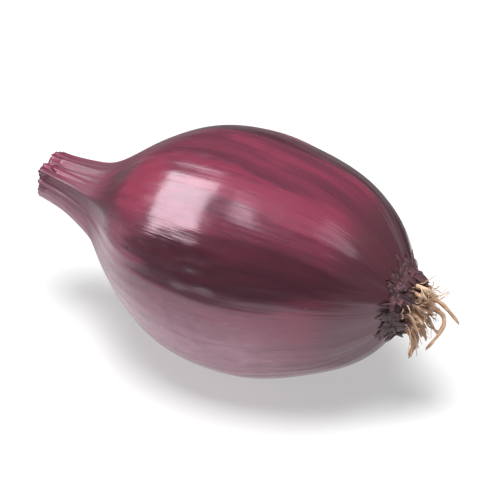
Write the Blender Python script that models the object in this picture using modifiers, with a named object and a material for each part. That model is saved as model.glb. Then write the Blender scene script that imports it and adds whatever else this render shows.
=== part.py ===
"""One onion set: the small dry bulb of a red onion, lying on its side as it comes ready for planting.

The bulb's axis runs along X, with the root end at +X and the dried neck at -X, and +Z is up.
The origin is the middle of the small flat spot that the bulb rests on. Lengths are in metres.
"""

import math
import random

import bmesh
import bpy
import numpy as np
from mathutils import Matrix

MM = 0.001

# Driving dimensions of the bulb. Its outline is given as (place along the axis, radius), measured
# from the widest ring, and it runs from the rim of the neck to the shoulder round the root plate.
OUTLINE = [
    (-20.6 * MM, 1.95 * MM),
    (-19.0 * MM, 2.05 * MM),
    (-17.2 * MM, 2.42 * MM),
    (-15.2 * MM, 3.22 * MM),
    (-13.2 * MM, 4.95 * MM),
    (-10.6 * MM, 7.43 * MM),
    (-7.0 * MM, 9.57 * MM),
    (-3.0 * MM, 10.58 * MM),
    (1.0 * MM, 10.60 * MM),
    (5.0 * MM, 9.83 * MM),
    (8.5 * MM, 8.50 * MM),
    (11.3 * MM, 6.60 * MM),
    (13.2 * MM, 4.40 * MM),
    (14.3 * MM, 2.70 * MM),
]
OUTLINE_RINGS = 36
SIDES = 60
NECK_DISH_DEPTH, NECK_DISH_SHOULDER = 0.6 * MM, 0.5 * MM
NECK_RIM_WIDTH, NECK_RIM_PROUD = 0.35 * MM, 0.1 * MM
ROOT_FACE_PLACE, ROOT_FACE_ROUNDING = 14.45 * MM, 0.3 * MM

# How the grown shape departs from the turned one. Each wave is (how many times round, size as a share of
# the radius, phase in radians).
BODY_WAVES = [(2, 0.012, 0.6), (3, 0.010, -1.1)]
PLEAT_WAVES = [(5, 0.070, 0.4), (8, 0.045, -0.9)]
FLUTE_WAVES = [(9, 0.020, 0.0), (14, 0.015, 1.0)]
PLEATS_START, PLEATS_FULL = -9.0 * MM, -16.0 * MM
FLUTES_START, FLUTES_FULL = 9.0 * MM, 14.0 * MM
BEND_START, BEND_LENGTH = -13.0 * MM, 8.5 * MM
BEND_UP, BEND_BACK = 0.80 * MM, 0.20 * MM
BOW_DOWN, BOW_FRONT = 0.18 * MM, 0.18 * MM
BOW_STARTS, BOW_FULL, BOW_EASES, BOW_ENDS = -18.5 * MM, -14.0 * MM, 1.0 * MM, 9.0 * MM
DENT_PLACE, DENT_HALF_LENGTH, DENT_DEPTH = -4.2 * MM, 2.2 * MM, 0.14 * MM
DENT_ANGLE, DENT_HALF_ANGLE = math.radians(142), math.radians(34)
NECK_CUT_SLANT, NECK_CUT_RAGGED = 0.25 * MM, 0.10 * MM
NECK_CUT_TURN = math.radians(200)
CUT_FELT_FROM, CUT_FELT_FULL = -18.7 * MM, -20.4 * MM

# How it lies: the root end a little lower than the neck, on a flat spot pressed under its weight.
ROOT_END_DOWN = math.radians(1.4)
FLAT_DEPTH = 0.38 * MM

# The ragged dry skin left round the root end.
SKIN_GAP, SKIN_THICKNESS = 0.10 * MM, 0.5 * MM
SKIN_EDGE_PLACE = 15.3 * MM
SKIN_SHORTEST, SKIN_LONGEST = 1.6 * MM, 3.4 * MM
SKIN_TIP_LIFT = 0.08 * MM
SKIN_TEETH = [(5, 0.26, -1.1), (11, 0.22, 0.3), (19, 0.20, -1.3), (28, 0.18, 0.8)]
SKIN_RINGS = 6
SKIN_COLUMNS = 84

# The root plate and its roots.
PLATE_GAP = 0.15 * MM
PLATE_BASE = ROOT_FACE_PLACE + PLATE_GAP
PLATE_RADIUS, PLATE_THICKNESS, PLATE_CROWN = 2.4 * MM, 0.5 * MM, 0.35 * MM
PLATE_FOOT_RADIUS, PLATE_FOOT_HEIGHT = 2.05 * MM, 0.25 * MM
PLATE_CROWN_RADII = (2.2 * MM, 1.3 * MM, 0.0)
PLATE_SIDES = 24
ROOT_RINGS = [(0.0, 1), (0.75 * MM, 6), (1.3 * MM, 9), (1.85 * MM, 13)]
ROOT_SHORTEST, ROOT_LONGEST = 0.7 * MM, 1.9 * MM
ROOT_RADIUS, ROOT_THINNEST, ROOT_THICKEST = 0.27 * MM, 0.75, 1.1
ROOT_TIP_SHARE = 0.5
# How a root of the mat leans, as shares of its length: outward in the plate's middle and by how much more
# at its edge, then how far this varies, how far it sways to a side and how far it droops.
LEAN_MIDDLE, LEAN_EDGE, LEAN_VARIES = 0.05, 0.25, 0.10
SWAY = 0.45
DROOP_LEAST, DROOP_MOST = 0.30, 0.95
FORWARD = 0.9
ANGLE_VARIES = 0.25
ROOT_SUNK = 0.4 * MM
ROOT_POINTS = 5
LONG_ROOT_POINTS = 8
# Each long root: its angle round the plate, then its middle and its tip, both as steps from its start.
LONG_ROOTS = [
    (math.radians(-5), (2.0 * MM, 0.7 * MM, -0.85 * MM), (3.5 * MM, 0.85 * MM, -2.5 * MM)),
    (math.radians(-35), (2.5 * MM, 0.3 * MM, -0.8 * MM), (2.2 * MM, -2.1 * MM, -2.5 * MM)),
    (math.radians(-85), (0.9 * MM, -0.2 * MM, -1.4 * MM), (0.8 * MM, -1.3 * MM, -2.7 * MM)),
    (math.radians(-140), (1.3 * MM, -0.4 * MM, -0.7 * MM), (1.5 * MM, -0.8 * MM, -2.2 * MM)),
    (math.radians(95), (1.5 * MM, 0.1 * MM, 0.3 * MM), (2.5 * MM, 0.5 * MM, -0.5 * MM)),
]
SEED = 14

SKIN_COLOUR = (0.145, 0.018, 0.045, 1.0)
TORN_COLOUR = (0.075, 0.028, 0.035, 1.0)
ROOT_COLOUR = (0.52, 0.33, 0.16, 1.0)


def clear_scene():
    for obj in list(bpy.data.objects):
        bpy.data.objects.remove(obj, do_unlink=True)


def new_collection(name):
    made = bpy.data.collections.new(name)
    bpy.context.scene.collection.children.link(made)
    return made


def plain_material(name, colour, roughness):
    made = bpy.data.materials.new(name)
    made.use_nodes = True
    shader = made.node_tree.nodes["Principled BSDF"]
    shader.inputs["Base Color"].default_value = colour
    shader.inputs["Roughness"].default_value = roughness
    shader.inputs["Metallic"].default_value = 0.0
    return made


def smooth_step(start, end, value):
    """0 at start, 1 at end and an S-curve between them; start may be the larger."""
    share = np.clip((value - start) / (end - start), 0.0, 1.0)
    return share * share * (3.0 - 2.0 * share)


def natural_spline(knots, values, at):
    """The cubic spline through (knots, values) that is straight at both ends, read at the places `at`."""
    knots, values = np.asarray(knots, float), np.asarray(values, float)
    step = np.diff(knots)
    slope = np.diff(values) / step
    count = len(knots)
    system = np.eye(count)
    pull = np.zeros(count)
    for i in range(1, count - 1):
        system[i, i - 1 : i + 2] = step[i - 1], 2.0 * (step[i - 1] + step[i]), step[i]
        pull[i] = 6.0 * (slope[i] - slope[i - 1])
    bend = np.linalg.solve(system, pull)
    i = np.clip(np.searchsorted(knots, at) - 1, 0, count - 2)
    left, right, h = at - knots[i], knots[i + 1] - at, step[i]
    from_left = bend[i] * right**3 / (6.0 * h) + (values[i] / h - bend[i] * h / 6.0) * right
    from_right = bend[i + 1] * left**3 / (6.0 * h) + (values[i + 1] / h - bend[i + 1] * h / 6.0) * left
    return from_left + from_right


def outline_points(count):
    """Points along the skin, evenly spaced, from the neck's rim to the root shoulder: places and radii."""
    places, radii = np.array(OUTLINE).T
    along = np.concatenate([[0.0], np.cumsum(np.hypot(np.diff(places), np.diff(radii)))])
    at = np.linspace(0.0, along[-1], count)
    return natural_spline(along, places, at), natural_spline(along, radii, at)


def radius_at(place):
    """The turned shape's radius at a place along the axis."""
    places, radii = outline_points(200)
    return np.interp(place, places, radii)


def waves(angle, terms):
    """The sum of cosine waves round the axis, each (how many times round, size, phase)."""
    return sum(size * np.cos(times * angle + phase) for times, size, phase in terms)


def girth(place, angle):
    """The grown radius as a share of the turned one: a slightly three-sided body and a pleated neck."""
    neck = smooth_step(PLEATS_START, PLEATS_FULL, place)
    base = smooth_step(FLUTES_START, FLUTES_FULL, place)
    ends = neck * waves(angle, PLEAT_WAVES) + base * waves(angle, FLUTE_WAVES)
    return 1.0 + waves(angle, BODY_WAVES) + ends


def dent(place, angle):
    """The depth of the one shallow dent across the shoulder, a bell in both directions."""
    off = (np.mod(angle - DENT_ANGLE + math.pi, 2 * math.pi) - math.pi) / DENT_HALF_ANGLE
    return DENT_DEPTH * np.exp(-(((place - DENT_PLACE) / DENT_HALF_LENGTH) ** 2)) * np.exp(-(off**2))


def neck_cut(place, angle):
    """How far the neck's cut end runs past the turned shape: a slant and some raggedness, near the tip."""
    near_tip = smooth_step(CUT_FELT_FROM, CUT_FELT_FULL, place)
    slant = NECK_CUT_SLANT * np.cos(angle - NECK_CUT_TURN)
    return -near_tip * (slant + NECK_CUT_RAGGED * np.sin(5 * angle + 1.0))


def bow(place):
    """How much of the full bow a place has: the bulb's middle lies a little off the line between its ends."""
    return smooth_step(BOW_STARTS, BOW_FULL, place) * smooth_step(BOW_ENDS, BOW_EASES, place)


def grown(place, radius, angle):
    """A point of the turned shape, moved to where it grew. The angle is from +Y to +Z."""
    place = place + neck_cut(place, angle)
    out = radius * girth(place, angle)
    out = out - dent(place, angle) * radius / np.maximum(radius_at(place), MM)
    bend = np.clip((BEND_START - place) / BEND_LENGTH, 0.0, None) ** 1.5
    y = out * np.cos(angle) + BEND_BACK * bend - BOW_FRONT * bow(place)
    z = out * np.sin(angle) + BEND_UP * bend - BOW_DOWN * bow(place)
    return np.stack([place, y, z], axis=-1)


def turned(name, outline, sides, collection):
    """An outline of (place, radius) turned round the X axis. It runs from -X to +X over its outer side."""
    mesh = bpy.data.meshes.new(name)
    vertices = [(radius, 0.0, -place) for place, radius in outline]
    edges = [(i, i + 1) for i in range(len(vertices) - 1)]
    mesh.from_pydata(vertices, edges, [])
    obj = bpy.data.objects.new(name, mesh)
    collection.objects.link(obj)
    screw = obj.modifiers.new("turn", "SCREW")
    screw.axis = "Z"
    screw.steps = screw.render_steps = sides
    screw.use_merge_vertices = True
    screw.merge_threshold = 0.00001
    solid = made_mesh(obj, name)
    # The outline was turned about Z with the neck on top; this lays it along X with the neck at -X.
    solid.data.transform(Matrix.Rotation(-math.pi / 2, 4, "Y"))
    return solid


def made_mesh(obj, name):
    """The object as evaluated, as a plain mesh object with its doubles merged; the old object is removed."""
    graph = bpy.context.evaluated_depsgraph_get()
    graph.update()
    mesh = bpy.data.meshes.new_from_object(obj.evaluated_get(graph))
    collection = obj.users_collection[0]
    matrix = obj.matrix_world.copy()
    bpy.data.objects.remove(obj, do_unlink=True)
    work = bmesh.new()
    work.from_mesh(mesh)
    bmesh.ops.remove_doubles(work, verts=work.verts, dist=0.000002)
    bmesh.ops.recalc_face_normals(work, faces=work.faces)
    work.to_mesh(mesh)
    work.free()
    mesh.name = name
    solid = bpy.data.objects.new(name, mesh)
    collection.objects.link(solid)
    solid.matrix_world = matrix
    return solid


def read_points(mesh):
    points = np.empty(len(mesh.vertices) * 3)
    mesh.vertices.foreach_get("co", points)
    return points.reshape(-1, 3)


def finish_look(obj, material, sharp_angle=50):
    obj.data.shade_smooth()
    obj.data.set_sharp_from_angle(angle=math.radians(sharp_angle))
    obj.data.materials.clear()
    obj.data.materials.append(material)


def make_bulb(collection):
    """The bulb with its neck: one turned solid, dished at the neck's tip, then given its grown shape."""
    places, radii = outline_points(OUTLINE_RINGS)
    tip, rim = places[0], radii[0]
    neck_end = [
        (tip + NECK_DISH_DEPTH, 0.0),
        (tip + NECK_DISH_SHOULDER, rim / 2),
        (tip - NECK_RIM_PROUD, rim - NECK_RIM_WIDTH),
    ]
    root_end = [(ROOT_FACE_PLACE, radii[-1] - ROOT_FACE_ROUNDING), (ROOT_FACE_PLACE, 0.0)]
    outline = neck_end + list(zip(places, radii)) + root_end
    bulb = turned("bulb", outline, SIDES, collection)
    points = read_points(bulb.data)
    radius = np.hypot(points[:, 1], points[:, 2])
    angle = np.arctan2(points[:, 2], points[:, 1])
    points = grown(points[:, 0], radius, angle)
    bulb.data.vertices.foreach_set("co", points.ravel())
    bulb.data.update()
    return bulb


def skin_length(angle):
    """How far the ragged skin reaches from its edge at each angle, between its shortest and longest tooth."""
    share = np.clip(0.5 + waves(angle, SKIN_TEETH), 0.0, 1.0)
    return SKIN_SHORTEST + (SKIN_LONGEST - SKIN_SHORTEST) * share


def make_torn_skin(collection):
    """The torn ends of the outer skins: a thin sleeve on the bulb's shoulder, ragged towards the neck."""
    # A plain sleeve is turned first. Its length along the axis then becomes each strip's own length.
    sleeve = [(-share * SKIN_LONGEST, SKIN_LONGEST) for share in np.linspace(1.0, 0.0, SKIN_RINGS)]
    skin = turned("torn_skin", sleeve, SKIN_COLUMNS, collection)
    points = read_points(skin.data)
    angle = np.arctan2(points[:, 2], points[:, 1])
    share = -points[:, 0] / SKIN_LONGEST
    place = SKIN_EDGE_PLACE - share * skin_length(angle)
    lift = SKIN_GAP + SKIN_TIP_LIFT * share**2
    points = grown(place, radius_at(place) + lift, angle)
    skin.data.vertices.foreach_set("co", points.ravel())
    skin.data.update()
    solidify = skin.modifiers.new("thickness", "SOLIDIFY")
    solidify.thickness = SKIN_THICKNESS
    solidify.offset = 1.0
    return skin


def plate_height(radius):
    """How far along the axis the plate's outer face lies, at a distance from its middle."""
    return PLATE_BASE + PLATE_THICKNESS + PLATE_CROWN * (1 - (radius / PLATE_RADIUS) ** 2)


def root_start(angle, radius):
    """Where a root leaves the plate, sunk a little way into it."""
    return np.array([plate_height(radius) - ROOT_SUNK, radius * math.cos(angle), radius * math.sin(angle)])


def arc_through(start, middle, tip, count):
    """Points along the parabola (a quadratic Bezier curve) that passes its middle point halfway."""
    share = np.linspace(0.0, 1.0, count)[:, None]
    handle = 2.0 * middle - 0.5 * (start + tip)
    return (1 - share) ** 2 * start + 2 * share * (1 - share) * handle + share**2 * tip


def short_root(angle, radius, draw):
    """One root of the mat: it stands out from the plate, leans outward and sideways, and droops."""
    start = root_start(angle, radius)
    length = ROOT_SUNK + draw.uniform(ROOT_SHORTEST, ROOT_LONGEST)
    outward = np.array([0.0, math.cos(angle), math.sin(angle)])
    sideways = np.array([0.0, -math.sin(angle), math.cos(angle)])
    spread = LEAN_MIDDLE + LEAN_EDGE * radius / PLATE_RADIUS + draw.uniform(-LEAN_VARIES, LEAN_VARIES)
    lean = spread * outward + draw.uniform(-SWAY, SWAY) * sideways
    lean = lean - np.array([0.0, 0.0, draw.uniform(DROOP_LEAST, DROOP_MOST)])
    forward = np.array([FORWARD, 0.0, 0.0])
    middle = start + length * (forward / 2 + lean / 4)
    tip = start + length * (forward + lean)
    return arc_through(start, middle, tip, ROOT_POINTS)


def make_root(name, path, radius, collection):
    """One root: a tapering tube along its path, as a closed mesh."""
    curve = bpy.data.curves.new(name, "CURVE")
    curve.dimensions = "3D"
    curve.bevel_depth = radius
    curve.bevel_resolution = 1
    curve.use_fill_caps = True
    spline = curve.splines.new("POLY")
    spline.points.add(len(path) - 1)
    for i, (point, place) in enumerate(zip(spline.points, path)):
        point.co = (*place, 1.0)
        point.radius = 1.0 - (1.0 - ROOT_TIP_SHARE) * i / (len(path) - 1)
    obj = bpy.data.objects.new(name, curve)
    collection.objects.link(obj)
    return made_mesh(obj, name)


def make_root_tuft(collection, draw):
    """The corky root plate with its dry roots, joined into one solid."""
    foot = [(PLATE_BASE, 0.0), (PLATE_BASE, PLATE_FOOT_RADIUS)]
    rim = [(PLATE_BASE + PLATE_FOOT_HEIGHT, PLATE_RADIUS)]
    crown = [(plate_height(radius), radius) for radius in PLATE_CROWN_RADII]
    plate = turned("root_tuft", foot + rim + crown, PLATE_SIDES, collection)
    roots = new_collection("roots_to_join")
    count = 0
    for radius, number in ROOT_RINGS:
        for i in range(number):
            angle = 2 * math.pi * (i + draw.uniform(-ANGLE_VARIES, ANGLE_VARIES)) / number
            path = short_root(angle, radius, draw)
            thickness = ROOT_RADIUS * draw.uniform(ROOT_THINNEST, ROOT_THICKEST)
            make_root(f"root_{count}", path, thickness, roots)
            count += 1
    for angle, middle, tip in LONG_ROOTS:
        start = root_start(angle, ROOT_RINGS[-1][0])
        path = arc_through(start, start + middle, start + tip, LONG_ROOT_POINTS)
        make_root(f"root_{count}", path, ROOT_RADIUS, roots)
        count += 1
    join = plate.modifiers.new("join_roots", "BOOLEAN")
    join.operation = "UNION"
    join.operand_type = "COLLECTION"
    join.collection = roots
    join.solver = "EXACT"
    tuft = made_mesh(plate, "root_tuft")
    for obj in list(roots.objects):
        bpy.data.objects.remove(obj, do_unlink=True)
    bpy.data.collections.remove(roots)
    return tuft


def lay_down(bulb, others, holder):
    """Lays all pieces down under one parent empty, with the middle of the flat spot at the origin."""
    turn = Matrix.Rotation(ROOT_END_DOWN, 4, "Y")
    points = read_points(bulb.data) @ np.array(turn.to_3x3()).T
    surface = points[:, 2].min() + FLAT_DEPTH
    pressed = points[points[:, 2] < surface]
    middle = (pressed.min(axis=0) + pressed.max(axis=0)) / 2
    holder.rotation_euler = turn.to_euler()
    holder.location = (-middle[0], -middle[1], -surface)
    for piece in [bulb, *others]:
        piece.parent = holder


def press_flat_spot(bulb, cutters):
    """Takes away what would lie below the surface that the bulb rests on, which leaves its flat spot."""
    side, depth = 30 * MM, 5 * MM
    bpy.ops.mesh.primitive_cube_add(size=1.0, location=(0.0, 0.0, -depth / 2))
    cutter = bpy.context.object
    cutter.name = "surface_cutter"
    cutter.scale = (side, side, depth)
    for collection in list(cutter.users_collection):
        collection.objects.unlink(cutter)
    cutters.objects.link(cutter)
    cutter.hide_render = True
    cutter.display_type = "WIRE"
    cut = bulb.modifiers.new("flat_spot", "BOOLEAN")
    cut.operation = "DIFFERENCE"
    cut.solver = "EXACT"
    cut.object = cutter


def main():
    clear_scene()
    draw = random.Random(SEED)
    pieces = new_collection("onion_set")
    cutters = new_collection("cutters")
    holder = bpy.data.objects.new("rest_spot", None)
    pieces.objects.link(holder)
    bulb = make_bulb(pieces)
    torn_skin = make_torn_skin(pieces)
    root_tuft = make_root_tuft(pieces, draw)
    finish_look(bulb, plain_material("red_onion_skin", SKIN_COLOUR, 0.35))
    finish_look(torn_skin, plain_material("torn_dry_skin", TORN_COLOUR, 0.6))
    finish_look(root_tuft, plain_material("dry_roots", ROOT_COLOUR, 0.8))
    lay_down(bulb, [torn_skin, root_tuft], holder)
    press_flat_spot(bulb, cutters)


main()
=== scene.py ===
# %% [markdown]
# # One red onion set, lying on a pale table
# An onion set is a small dry bulb, about as long as a thumb joint, that is planted to grow a full onion.
# The solids in the frame give its size and place. This lesson gives it the outside that the eye sees:
# a glossy papery skin, a pleated neck, torn older skin round the root end, and a tuft of dry roots.

# %% The frame, and its size before anything is added
import math
import random

import bpy
import numpy as np
from mathutils import Matrix, Vector


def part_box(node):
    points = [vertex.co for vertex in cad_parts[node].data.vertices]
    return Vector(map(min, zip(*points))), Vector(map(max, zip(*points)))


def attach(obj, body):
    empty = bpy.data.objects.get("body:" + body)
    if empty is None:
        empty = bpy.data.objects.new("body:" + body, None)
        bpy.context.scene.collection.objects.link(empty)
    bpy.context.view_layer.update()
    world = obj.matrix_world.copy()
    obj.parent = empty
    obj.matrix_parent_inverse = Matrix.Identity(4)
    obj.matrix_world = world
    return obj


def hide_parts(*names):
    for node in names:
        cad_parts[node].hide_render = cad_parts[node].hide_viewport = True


MM = 0.001
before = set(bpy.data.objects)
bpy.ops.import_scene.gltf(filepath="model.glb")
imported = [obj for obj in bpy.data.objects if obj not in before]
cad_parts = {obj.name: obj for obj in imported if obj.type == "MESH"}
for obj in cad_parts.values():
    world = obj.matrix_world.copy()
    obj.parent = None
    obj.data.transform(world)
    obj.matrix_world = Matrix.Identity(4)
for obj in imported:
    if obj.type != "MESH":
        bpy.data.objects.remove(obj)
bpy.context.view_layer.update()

# %% [markdown]
# ## The shape that the bulb grew into
# A bulb is nearly a turned shape, so its outline is a short list of radii along its axis, joined by a
# smooth spline. Growing made it a little three-sided, drew its neck into pleats and bent the neck up.
# The same few values shape the solid in the frame, so the fine skin lies where the solid does.

# %% The outline and how the grown shape departs from it
# Each point is (place along the axis, radius). The neck is at -X and the root end at +X.
OUTLINE = MM * np.array([
    (-20.6, 1.95), (-19.0, 2.05), (-17.2, 2.42), (-15.2, 3.22), (-13.2, 4.95), (-10.6, 7.43), (-7.0, 9.57),
    (-3.0, 10.58), (1.0, 10.60), (5.0, 9.83), (8.5, 8.50), (11.3, 6.60), (13.2, 4.40), (14.3, 2.70),
])
FINE_ROWS = 400
ROOT_FACE_PLACE, ROOT_FACE_ROUNDING = 14.45 * MM, 0.3 * MM
# Each wave is (how many times round, size as a share of the radius, phase).
BODY_WAVES = [(2, 0.012, 0.6), (3, 0.010, -1.1)]
PLEAT_WAVES = [(5, 0.070, 0.4), (8, 0.045, -0.9)]
FLUTE_WAVES = [(9, 0.020, 0.0), (14, 0.015, 1.0)]
PLEATS_START, PLEATS_FULL = -9.0 * MM, -16.0 * MM
FLUTES_START, FLUTES_FULL = 9.0 * MM, 14.0 * MM
BEND_START, BEND_LENGTH = -13.0 * MM, 8.5 * MM
BEND_UP, BEND_BACK, BEND_POWER = 0.80 * MM, 0.20 * MM, 1.5
BOW_DOWN, BOW_FRONT = 0.18 * MM, 0.18 * MM
BOW_STARTS, BOW_FULL, BOW_EASES, BOW_ENDS = -18.5 * MM, -14.0 * MM, 1.0 * MM, 9.0 * MM
DENT_PLACE, DENT_HALF_LENGTH, DENT_DEPTH = -4.2 * MM, 2.2 * MM, 0.14 * MM
DENT_ANGLE, DENT_HALF_ANGLE = math.radians(142), math.radians(34)
NECK_CUT_SLANT, NECK_CUT_TURN = 0.25 * MM, math.radians(200)
NECK_CUT_RAGGED, NECK_CUT_TEETH, NECK_CUT_PHASE = 0.10 * MM, 5, 1.0
CUT_FELT_FROM, CUT_FELT_FULL = -18.7 * MM, -20.4 * MM
ROOT_END_DOWN = math.radians(1.4)


def smooth_step(start, end, value):
    """0 at start, 1 at end and an S-curve between them; start may be the larger."""
    share = np.clip((value - start) / (end - start), 0.0, 1.0)
    return share * share * (3.0 - 2.0 * share)


def natural_spline(knots, values, at):
    """The cubic spline through (knots, values) that is straight at both ends, read at the places `at`."""
    knots, values = np.asarray(knots, float), np.asarray(values, float)
    step = np.diff(knots)
    slope = np.diff(values) / step
    count = len(knots)
    system = np.eye(count)
    pull = np.zeros(count)
    for i in range(1, count - 1):
        system[i, i - 1 : i + 2] = step[i - 1], 2.0 * (step[i - 1] + step[i]), step[i]
        pull[i] = 6.0 * (slope[i] - slope[i - 1])
    bend = np.linalg.solve(system, pull)
    i = np.clip(np.searchsorted(knots, at) - 1, 0, count - 2)
    left, right, h = at - knots[i], knots[i + 1] - at, step[i]
    from_left = bend[i] * right**3 / (6.0 * h) + (values[i] / h - bend[i] * h / 6.0) * right
    from_right = bend[i + 1] * left**3 / (6.0 * h) + (values[i + 1] / h - bend[i + 1] * h / 6.0) * left
    return from_left + from_right


def outline_points(count):
    """Points along the skin, evenly spaced, from the neck's rim to the root shoulder: places and radii."""
    places, radii = OUTLINE.T
    along = np.concatenate([[0.0], np.cumsum(np.hypot(np.diff(places), np.diff(radii)))])
    at = np.linspace(0.0, along[-1], count)
    return natural_spline(along, places, at), natural_spline(along, radii, at)


FINE_PLACES, FINE_RADII = outline_points(FINE_ROWS)
print("widest radius of the turned shape, mm:", round(FINE_RADII.max() / MM, 2))


def radius_at(place):
    """The turned shape's radius at a place along the axis."""
    return np.interp(place, FINE_PLACES, FINE_RADII)


def waves(angle, terms):
    """The sum of cosine waves round the axis, each (how many times round, size, phase)."""
    return sum(size * np.cos(times * angle + phase) for times, size, phase in terms)


def girth(place, angle):
    """The grown radius as a share of the turned one: a slightly three-sided body and a pleated neck."""
    neck = smooth_step(PLEATS_START, PLEATS_FULL, place)
    base = smooth_step(FLUTES_START, FLUTES_FULL, place)
    ends = neck * waves(angle, PLEAT_WAVES) + base * waves(angle, FLUTE_WAVES)
    return 1.0 + waves(angle, BODY_WAVES) + ends


def turned_away(angle, centre):
    """How far an angle is from another, between -pi and pi."""
    return np.mod(angle - centre + math.pi, 2 * math.pi) - math.pi


def dent(place, angle):
    """The depth of the one shallow dent across the shoulder, a bell in both directions."""
    off = turned_away(angle, DENT_ANGLE) / DENT_HALF_ANGLE
    return DENT_DEPTH * np.exp(-(((place - DENT_PLACE) / DENT_HALF_LENGTH) ** 2)) * np.exp(-(off**2))


def neck_cut(place, angle):
    """How far the neck's cut end runs past the turned shape: a slant and some raggedness, near the tip."""
    near_tip = smooth_step(CUT_FELT_FROM, CUT_FELT_FULL, place)
    slant = NECK_CUT_SLANT * np.cos(angle - NECK_CUT_TURN)
    return -near_tip * (slant + NECK_CUT_RAGGED * np.sin(NECK_CUT_TEETH * angle + NECK_CUT_PHASE))


def bow(place):
    """How much of the full bow a place has: the bulb's middle lies a little off the line of its ends."""
    return smooth_step(BOW_STARTS, BOW_FULL, place) * smooth_step(BOW_ENDS, BOW_EASES, place)


def grown(place, radius, angle):
    """A point of the turned shape, moved to where it grew. The angle is from +Y to +Z."""
    place = place + neck_cut(place, angle)
    out = radius * girth(place, angle)
    out = out - dent(place, angle) * radius / np.maximum(radius_at(place), MM)
    bend = np.clip((BEND_START - place) / BEND_LENGTH, 0.0, None) ** BEND_POWER
    y = out * np.cos(angle) + BEND_BACK * bend - BOW_FRONT * bow(place)
    z = out * np.sin(angle) + BEND_UP * bend - BOW_DOWN * bow(place)
    return np.stack([place, y, z], axis=-1)


# %% [markdown]
# ## From the bulb's own axis to the table
# Every shape is worked out along the bulb's own axis and then laid down. How it lies is read from the
# frame: it is turned by the slope of the root end and moved until its sides, its top and its root face
# meet the solid's box.

# %% How the bulb lies
TRIAL_COLUMNS = 241


def leaned(points):
    """The points turned about Y by the small slope that puts the root end lower."""
    cosine, sine = math.cos(ROOT_END_DOWN), math.sin(ROOT_END_DOWN)
    x = points[..., 0] * cosine + points[..., 2] * sine
    z = -points[..., 0] * sine + points[..., 2] * cosine
    return np.stack([x, points[..., 1], z], axis=-1)


around = np.linspace(0.0, 2 * math.pi, TRIAL_COLUMNS)[None, :]
trial = leaned(grown(FINE_PLACES[:, None], FINE_RADII[:, None], around)).reshape(-1, 3)
root_face = leaned(grown(np.array([[ROOT_FACE_PLACE]]), FINE_RADII[-1] - ROOT_FACE_ROUNDING, around))
bulb_low, bulb_high = (np.array(v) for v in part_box("bulb"))
lie_x = bulb_high[0] - root_face[..., 0].max()
lie_y = (bulb_low[1] + bulb_high[1]) / 2 - (trial[:, 1].min() + trial[:, 1].max()) / 2
lie_z = bulb_high[2] - trial[:, 2].max()
LIE = np.array([lie_x, lie_y, lie_z])
print("the axis meets the widest ring at, mm:", np.round(LIE / MM, 2))


def laid(points):
    """Points of the bulb's own frame, where they lie on the table."""
    return leaned(points) + LIE


# %% [markdown]
# ## Grids into meshes
# A surface that is a function of two parameters comes out of numpy as a grid of points. Its faces join
# each point to its neighbours. A grid that goes round closes on its first column, and a fan of triangles
# can close each of its ends. A face points along the cross product of the step to the next column and the
# step to the next row. Where that leads inwards, the corners are taken in the other order.

# %% Helpers that put arrays into meshes
def full_turn(columns):
    """The angles of a closed grid's columns, once round, as one row."""
    return np.linspace(0.0, 2 * math.pi, columns, endpoint=False)[None, :]


def grid_faces(rows, columns, closed=True):
    """The four corners of each square of a grid; a closed grid's last column meets its first."""
    across = columns if closed else columns - 1
    row, column = np.meshgrid(np.arange(rows - 1), np.arange(across), indexing="ij")
    here = row * columns + column
    beside = row * columns + (column + 1) % columns
    return np.stack([here, beside, beside + columns, here + columns], axis=-1).reshape(-1, 4)


def cap_faces(first, columns, tip):
    """A fan of triangles from one row of a closed grid to a single tip point."""
    here = first + np.arange(columns)
    beside = first + (np.arange(columns) + 1) % columns
    return np.stack([beside, here, np.full(columns, tip)], axis=-1)


def capped(grid):
    """A grid that goes round, closed with a fan at each end: its points, and its faces in a list."""
    rows, columns = grid.shape[:2]
    points = np.concatenate([grid.reshape(-1, 3), grid[[0, -1]].mean(axis=1)])
    first = cap_faces(0, columns, rows * columns)
    last = cap_faces((rows - 1) * columns, columns, rows * columns + 1)
    return points, [grid_faces(rows, columns), first, last[:, ::-1]]


def shown(name, data):
    """A new object in the scene, at the origin, that shows a mesh, a camera or a light."""
    thing = bpy.data.objects.new(name, data)
    bpy.context.scene.collection.objects.link(thing)
    return thing


def new_surface(name, points, faces, material):
    """A mesh object at the origin. The faces come as a list of arrays."""
    mesh = bpy.data.meshes.new(name)
    mesh.from_pydata(points.tolist(), [], [face for array in faces for face in array.tolist()])
    mesh.materials.append(material)
    return shown(name, mesh)


def new_piece(name, points, faces, material):
    """A smooth surface that rides on the bulb's one body."""
    piece = new_surface(name, points, faces, material)
    piece.data.shade_smooth()
    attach(piece, "root")
    return piece


def thicken(piece, thickness):
    """Gives a sheet the thickness of paper, half of it to each side."""
    paper = piece.modifiers.new("paper", "SOLIDIFY")
    paper.thickness = thickness
    paper.offset = 0.0


def store(piece, name, values):
    """Keeps one number, or one vector, for each point of the mesh, for its material to read."""
    values = np.asarray(values, float)
    is_vector = values.ndim == 2
    attribute = piece.data.attributes.new(name, "FLOAT_VECTOR" if is_vector else "FLOAT", "POINT")
    attribute.data.foreach_set("vector" if is_vector else "value", values.ravel())


def mesh_points(piece):
    """The points of a piece's mesh, as one array."""
    points = np.empty(len(piece.data.vertices) * 3)
    piece.data.vertices.foreach_get("co", points)
    return points.reshape(-1, 3)


def signed_volume(piece):
    """The volume inside the faces in cubic millimetres, negative where they point inwards."""
    mesh = piece.data
    mesh.calc_loop_triangles()
    corners = np.empty(len(mesh.loop_triangles) * 3, dtype=np.int32)
    mesh.loop_triangles.foreach_get("vertices", corners)
    a, b, c = mesh_points(piece)[corners.reshape(-1, 3)].transpose(1, 0, 2)
    return round(float(np.einsum("ij,ij->i", a, np.cross(b, c)).sum() / 6) / MM**3, 1)


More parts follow.
